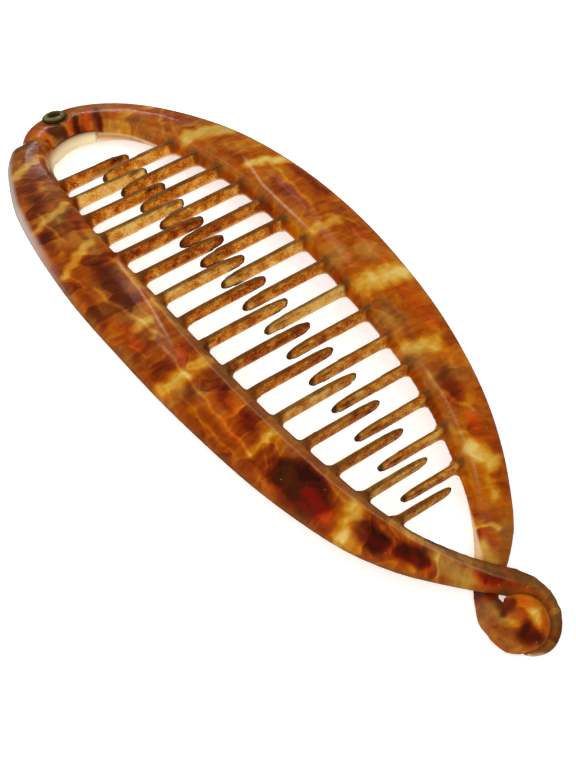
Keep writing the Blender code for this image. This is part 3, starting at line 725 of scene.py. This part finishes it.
# How far each pattern or stroke shifts the plastic's tone, from one end to the other of its own range
shifts = {
    "zone": 0.55,
    "cloud": 0.42,
    "streak": 0.24,
    "fine": 0.12,
    "vein": 0.09,
    "drawnVein": 0.24,
    "cream": 0.36,
    "dark": 0.40,
    # painted shade on the inner wall
    "innerWall": 0.10,
    "toothGrain": 1.9,
    "toothMottle": 1.5,
}

# How much of the colour beneath each paint covers
covers = {
    "red": 0.9,
    "milk": 0.45,
    "olive": 0.6,
    "tooth": 0.85,
    # the next five are painted light and shade: light along the teeth's low edges, shade at their tips and
    # roots, light on the front's fringe, shade on the outer rim
    "lowEdge": 0.75,
    "tip": 0.92,
    "root": 0.4,
    "fringeLight": 0.9,
    "rim": 0.35,
    "speck": 0.3,
}

# Squeezes of the patterns along the arm, across it and in its depth, per millimetre
grains = {
    "block": (1 / 3.6, 1 / 5.2, 1 / 6.0),
    "streak": (1.2, 0.2, 0.3),
    "fine": (2.6, 1.4, 2.0),
    "toothGrain": (5.5, 2.2, 3.2),
    "toothMottle": (0.9, 0.45, 0.5),
}
swirling = 3.0                 # how far the blocks and clouds are swirled, in millimetres


def squeezed(board, place, name, detail=2.0, roughness=0.5):
    return board.noise(board.vector("MULTIPLY", place, grains[name]), 1.0, detail, roughness)


def patternsOf(board, plan, place):
    # the noises that the colours are mixed by, set apart from one comb to the other
    shift = board.node("ShaderNodeMapping", None, {"Vector": place, "Location": (40.0 * plan["side"], 0, 0)})
    swirl = board.vector("SUBTRACT", board.noise(shift, 0.2, 1.0, out=1), (0.5, 0.5, 0.5))
    swirled = board.vector("ADD", shift, board.vector("MULTIPLY", swirl, (swirling, swirling, swirling)))
    blockPlace = board.vector("MULTIPLY", swirled, grains["block"])
    blocks = {"Vector": blockPlace, "Scale": 1.0, "Randomness": 0.7}
    blockEdge = board.node("ShaderNodeTexVoronoi", {"feature": "DISTANCE_TO_EDGE"}, blocks)
    blockColour = board.node("ShaderNodeTexVoronoi", None, blocks, out=1)
    speck = board.node("ShaderNodeTexVoronoi", {"feature": "F1"}, {"Vector": place, "Scale": 0.42})
    seen = board.ease(board.noise(shift, 0.24, 1.0), 0.46, 0.62)
    return {
        "block": board.node("ShaderNodeSeparateColor", None, {0: blockColour}),
        "vein": (1 - board.ease(blockEdge, 0.0, 0.16)) * seen,
        "zone": board.noise(swirled, 0.085, 3.0),
        "cloud": board.noise(swirled, 0.30, 4.0, 0.6),
        "streak": squeezed(board, board.vector("ADD", shift, swirl), "streak"),
        "fine": squeezed(board, shift, "fine", 4.0, 0.65),
        "milk": board.ease(board.noise(shift, 0.14), 0.50, 0.72),
        "toothGrain": squeezed(board, place, "toothGrain", 4.0, 0.75),
        "toothMottle": squeezed(board, place, "toothMottle"),
        "speck": 1 - board.ease(speck, 0.02, 0.06),
    }


def shiftBy(patterns, name):
    # a pattern as a shift of tone either way
    return (patterns[name] - 0.5) * shifts[name]


def marbled(board, plan, patterns):
    # the plastic's own colours: tone first, then the red and the milky olive patches over it
    cloud = patterns["cloud"]
    streak = patterns["streak"]
    marks = {kind: board.painted(kind) for kind in markKinds}
    uneven = 0.65 + cloud * 0.7
    cream = board.ease(marks["cream"] * uneven, 0.0, 1.05)
    dark = board.ease(marks["dark"] * uneven, 0.1, 1.05)
    drawn = marks["vein"] * (0.4 + streak * 0.9) * (1 - dark * 0.6)
    tone = plan["tone"] + shiftBy(patterns, "zone") + (patterns["block"] - 0.5) * plan["blocks"]
    tone = tone + shiftBy(patterns, "cloud") + shiftBy(patterns, "fine")
    tone = tone + (shiftBy(patterns, "streak") + patterns["vein"] * shifts["vein"]) * (1 - dark * 0.8)
    tone = tone + drawn * shifts["drawnVein"] + cream * shifts["cream"] - dark * shifts["dark"]
    # painted shade darkens the inner wall
    tone = tone - board.painted("innerWall") * shifts["innerWall"]
    colour = board.node("ShaderNodeValToRGB", {"stops": amber["plain"]}, {0: tone})
    redness = board.ease(marks["red"] * (0.5 + cloud * 0.8), 0.1, 1.2) * covers["red"]
    colour = board.mix(redness, colour, board.mix(board.ease(tone, 0.15, 0.6), *amber["red"]))
    milk = patterns["milk"] * covers["milk"] + marks["olive"] * covers["olive"]
    milk = board.node("ShaderNodeClamp", None, {0: milk})
    return board.mix(milk, colour, board.mix(board.ease(tone, 0.2, 0.8), *amber["olive"]))


def toothed(board, patterns, colour):
    # tooth sides with a coarse grain, painted lighter as lit; painted shade on the crests, tips and roots;
    # painted light along the low edges
    toothTone = board.painted("toothTone") * 0.8 + 0.06
    toothTone = toothTone + shiftBy(patterns, "toothGrain") + shiftBy(patterns, "toothMottle")
    body = board.node("ShaderNodeValToRGB", {"stops": amber["tooth"]}, {0: toothTone})
    colour = board.mix(board.painted("tooth") * covers["tooth"], colour, body)
    # painted shade on the crests
    crest = board.painted("crest") * (0.5 + 0.7 * patterns["cloud"])
    colour = board.mix(crest, colour, board.mix(patterns["toothGrain"], *amber["crest"]))
    for name in ("lowEdge", "tip", "root"):
        colour = board.mix(board.painted(name) * covers[name], colour, amber[name])
    return colour


def edged(board, plan, patterns, colour):
    # painted light on the lips at the hinge, a painted sheen on the band, a painted highlight on the crease,
    # painted light on the front's outer fringe, painted shade on the outer rim, and a few specks
    # painted light on the lips
    lip = board.painted("lip")
    lipLightColour = board.mix(patterns["cloud"], *amber["lip"])
    lipLightColour = board.mix(board.ease(lip, 0.1, 0.85), lipLightColour, amber["lipLightEdge"])
    colour = board.mix(board.ease(lip, 0.0, 0.3), colour, lipLightColour)
    # a painted greyish sheen on the band
    sheenOnBand = board.painted("band") * plan["bandSheen"]
    colour = board.mix(sheenOnBand, colour, board.mix(patterns["fine"], *amber["band"]))
    # a painted highlight along the crease and the band's edge
    crease = board.painted("crease") * (0.25 + 0.5 * patterns["streak"])
    colour = board.mix(crease, colour, amber["crease"])
    rim = board.painted("outerRim")
    # painted light along the front's outer edge
    if plan["side"] < 0:
        fringeLight = rim * (1 - board.ease(board.painted("along"), -36.0, -6.0))
        colour = board.mix(fringeLight * covers["fringeLight"], colour, amber["fringeLight"])
    # painted shade on the outer rim
    colour = board.mix(rim * covers["rim"], colour, amber["rim"])
    return board.mix(patterns["speck"] * covers["speck"], colour, amber["speck"])


def tortoiseshell(plan):
    # swirled amber plastic: brown blocks between honey veins, with milky, red and near-black patches
    board = Board(plan["slot"])
    place = board.node("ShaderNodeAttribute", {"attribute_name": "armPlace"}, out=1)
    patterns = patternsOf(board, plan, place)
    colour = marbled(board, plan, patterns)
    colour = toothed(board, patterns, colour)
    colour = edged(board, plan, patterns, colour)
    ripple = board.noise(place, 0.35) + patterns["toothGrain"] * board.painted("tooth") * 0.5
    bump = board.node("ShaderNodeBump", None, {"Strength": 0.35, "Distance": 0.15 * mm, "Height": ripple})
    return board.finish(**{
        "Base Color": colour,
        "Roughness": 0.10 + 0.10 * patterns["cloud"] + board.painted("crest") * 0.12,
        "Normal": bump,
        "IOR": 1.49,
        "Specular IOR Level": 0.35,
        "Subsurface Weight": 0.15,
        "Subsurface Radius": (1.0, 0.38, 0.10),
        "Subsurface Scale": 1.0 * mm,
    })


makeComb(frontComb)
makeComb(rearComb)

# The rivet: turned head with a shallow dimple, shank and flared tail

rivet = {
    "sides": 64,
    "headRadius": 2.55,
    "headLow": 0.42,
    "edgeHeight": 0.28,
    # from the head's edge to the middle of its dimple: inset, then up
    "steps": ((0.30, 0.26), (0.40, 0.20), (0.35, 0.06), (0.25, -0.10), (0.30, -0.45), (0.35, -0.12)),
    "shankRadius": 1.48,
    "tailRadius": 2.56,
    "tailLow": -4.03,
    "tailThick": 0.46,
    "tailFlare": 0.02,         # length over which the shank flares into the tail
    "tailShoulder": 0.6,       # share of the tail's thickness that stays at its widest
    "tailEnd": 0.85,           # width of the tail's end beside its widest
    "rounding": 0.07,
    "smoothAngle": 0.6,
    "reflectionRingFrom": (1.0, 1.7),    # the painted reflection, a bright ring on the head: where it fades in from the middle
    "reflectionRingTo": (2.0, 2.5),      # and where it fades out again
    # dark of the grime patches and of the painted reflection's middle and edge
    "grimeAndDarkReflection": tint(66, 60, 38),
    "brass": tint(186, 158, 92),
    "metallic": 0.65,          # less than bare metal, for the tarnish
}


def pickFaces(piece, upward):
    # select the one flat end that faces up or down, the only faces with more than four corners
    selectOnly(piece)
    bpy.ops.object.mode_set(mode="EDIT")
    bpy.ops.mesh.select_all(action="DESELECT")
    bpy.ops.mesh.select_mode(type="FACE")
    bpy.ops.object.mode_set(mode="OBJECT")
    ends = [face for face in piece.data.polygons if len(face.vertices) > 4]
    max(ends, key=lambda face: face.center.z * upward).select = True
    bpy.ops.object.mode_set(mode="EDIT")


def grow(distance):
    bpy.ops.mesh.extrude_region_move(TRANSFORM_OT_translate={"value": (0, 0, distance * mm)})


def widen(factor):
    bpy.ops.transform.resize(value=(factor, factor, 1))


def makeRivet():
    low = rivet["headLow"]
    height = rivet["edgeHeight"]
    bpy.ops.object.select_all(action="DESELECT")
    bpy.ops.mesh.primitive_cylinder_add(vertices=rivet["sides"], radius=rivet["headRadius"] * mm,
                                        depth=height * mm, location=(0, 0, (low + height / 2) * mm))
    piece = bpy.context.object
    piece.name = "hingeRivetTurned"
    bpy.ops.object.transform_apply(location=True, rotation=True, scale=True)
    pickFaces(piece, 1)
    for inset, up in rivet["steps"]:
        bpy.ops.mesh.inset(thickness=inset * mm, depth=up * mm)
    pickFaces(piece, -1)
    bpy.ops.mesh.inset(thickness=(rivet["headRadius"] - rivet["shankRadius"]) * mm, depth=0)
    grow(rivet["tailLow"] + rivet["tailThick"] - low)
    grow(-rivet["tailFlare"])
    widen(rivet["tailRadius"] / rivet["shankRadius"])
    shoulder = rivet["tailThick"] * rivet["tailShoulder"]
    grow(-shoulder)
    grow(shoulder - rivet["tailThick"])
    widen(rivet["tailEnd"])
    bpy.ops.object.mode_set(mode="OBJECT")
    applyModifier(piece, "rounded", "BEVEL", width=rivet["rounding"] * mm, segments=3, limit_method="ANGLE")
    piece.matrix_world = Matrix.Translation(pinPlace) @ pinAxis.to_track_quat("Z", "Y").to_matrix().to_4x4()
    selectOnly(piece)
    bpy.ops.object.transform_apply(location=True, rotation=True, scale=True)
    bpy.ops.object.shade_smooth_by_angle(angle=rivet["smoothAngle"])
    piece.data.materials.append(brassWithPaintedReflection())
    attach(piece, "front")
    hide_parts("hinge_rivet")
    print("rivet made:", len(piece.data.polygons), "faces")


def brassWithPaintedReflection():
    # dull brass with grime patches and fine scratches, and a painted reflection: a bright ring on the head,
    # dark in the middle and at the edge
    board = Board("rivet_brass")
    place = board.node("ShaderNodeTexCoord", out=3)
    grimeAndDarkReflection = board.ease(board.noise(place, 900.0, 3.0, 0.6), 0.42, 0.66)
    scratch = board.noise(board.vector("MULTIPLY", place, (9000.0, 900.0, 900.0)), 1.0, 2.0)
    toPin = tuple(-v for v in pinPlace)
    centred = board.node("ShaderNodeMapping", None, {"Vector": place, "Location": toPin})
    fromAxis = board.vector("CROSS_PRODUCT", centred, tuple(pinAxis))
    reach = board.vector("LENGTH", fromAxis, (0, 0, 0), out=1)
    # painted reflection: a bright ring on the head between a dark middle and a dark edge
    fadesIn = board.ease(reach, *(r * mm for r in rivet["reflectionRingFrom"]))
    reflectionRing = fadesIn * (1 - board.ease(reach, *(r * mm for r in rivet["reflectionRingTo"])))
    colour = board.mix(reflectionRing * (1 - grimeAndDarkReflection * 0.6), rivet["grimeAndDarkReflection"], rivet["brass"])
    scratches = {"Strength": 0.25, "Distance": 0.03 * mm, "Height": scratch + grimeAndDarkReflection}
    bump = board.node("ShaderNodeBump", None, scratches)
    return board.finish(**{
        "Base Color": colour,
        "Metallic": rivet["metallic"],
        "Roughness": 0.24 + grimeAndDarkReflection * 0.22 + scratch * 0.06,
        "Normal": bump,
    })


makeRivet()

# Table, light and camera

def makeTable():
    bpy.ops.object.select_all(action="DESELECT")
    bpy.ops.mesh.primitive_plane_add(size=6.0, location=(0, 0, 0))
    table = bpy.context.object
    table.name = "paleTable"
    board = Board("paleTable")
    place = board.node("ShaderNodeTexCoord", out=3)
    shade = board.mix(board.noise(place, 3.0), tint(246, 246, 245), tint(250, 250, 250))
    table.data.materials.append(board.finish(**{
        "Base Color": shade,
        "Roughness": 0.8,
        "Specular IOR Level": 0.1,
        "Emission Color": (1, 1, 1, 1),
        "Emission Strength": 0.45,
    }))
    table.visible_glossy = False


def addLight(name, place, size, power, mirrored=True):
    light = bpy.data.lights.new(name, "AREA")
    light.shape = "RECTANGLE"
    light.size, light.size_y = size
    light.energy = power
    lamp = bpy.data.objects.new(name, light)
    bpy.context.scene.collection.objects.link(lamp)
    lamp.location = place
    lamp.rotation_euler = (-Vector(place)).to_track_quat("-Z", "Y").to_euler()
    lamp.visible_glossy = mirrored


# The camera as it stood for the photo: place in metres, lens in pixels, height of its frame in millimetres
view = {
    "place": (0.12017, -0.105184, 0.202185),
    "right": (0.60819, 0.79027, 0.07467),
    "up": (-0.65815, 0.44943, 0.60403),
    "focalPixels": 1391.7,
    "pixelsHigh": 768,
    "frameHeight": 24.0,
}


def addCamera():
    lens = bpy.data.cameras.new("photoCamera")
    camera = bpy.data.objects.new("photoCamera", lens)
    bpy.context.scene.collection.objects.link(camera)
    right = Vector(view["right"]).normalized()
    up = Vector(view["up"]).normalized()
    turn = Matrix((right, up, right.cross(up))).transposed().to_4x4()
    camera.matrix_world = Matrix.Translation(view["place"]) @ turn
    lens.sensor_fit = "VERTICAL"
    lens.sensor_height = view["frameHeight"]
    lens.lens = view["focalPixels"] * view["frameHeight"] / view["pixelsHigh"]
    lens.clip_start = 1 * mm
    bpy.context.scene.camera = camera


def addWorld(strength):
    world = bpy.data.worlds.new("studio")
    world.use_nodes = True
    glow = world.node_tree.nodes["Background"].inputs
    glow["Color"].default_value = (1, 1, 1, 1)
    glow["Strength"].default_value = strength
    bpy.context.scene.world = world
    bpy.context.scene.view_settings.view_transform = "Standard"


makeTable()
# three soft panels that the gloss doesn't mirror, then two thin strips that it does
addLight("softTop", (0.22, -0.3, 0.7), (0.7, 0.7), 5.6, mirrored=False)
addLight("fill", (-0.6, -0.35, 0.45), (0.5, 0.5), 2.0, mirrored=False)
addLight("backPanel", (-0.1, 0.7, 0.22), (0.9, 0.35), 2.5, mirrored=False)
addLight("strip", (-0.45, 0.30, 0.55), (0.02, 0.3), 0.05)
addLight("streak", (-0.6, 0.24, 0.13), (0.16, 0.03), 0.06)
addWorld(0.12)
addCamera()
print("table, light and camera set")
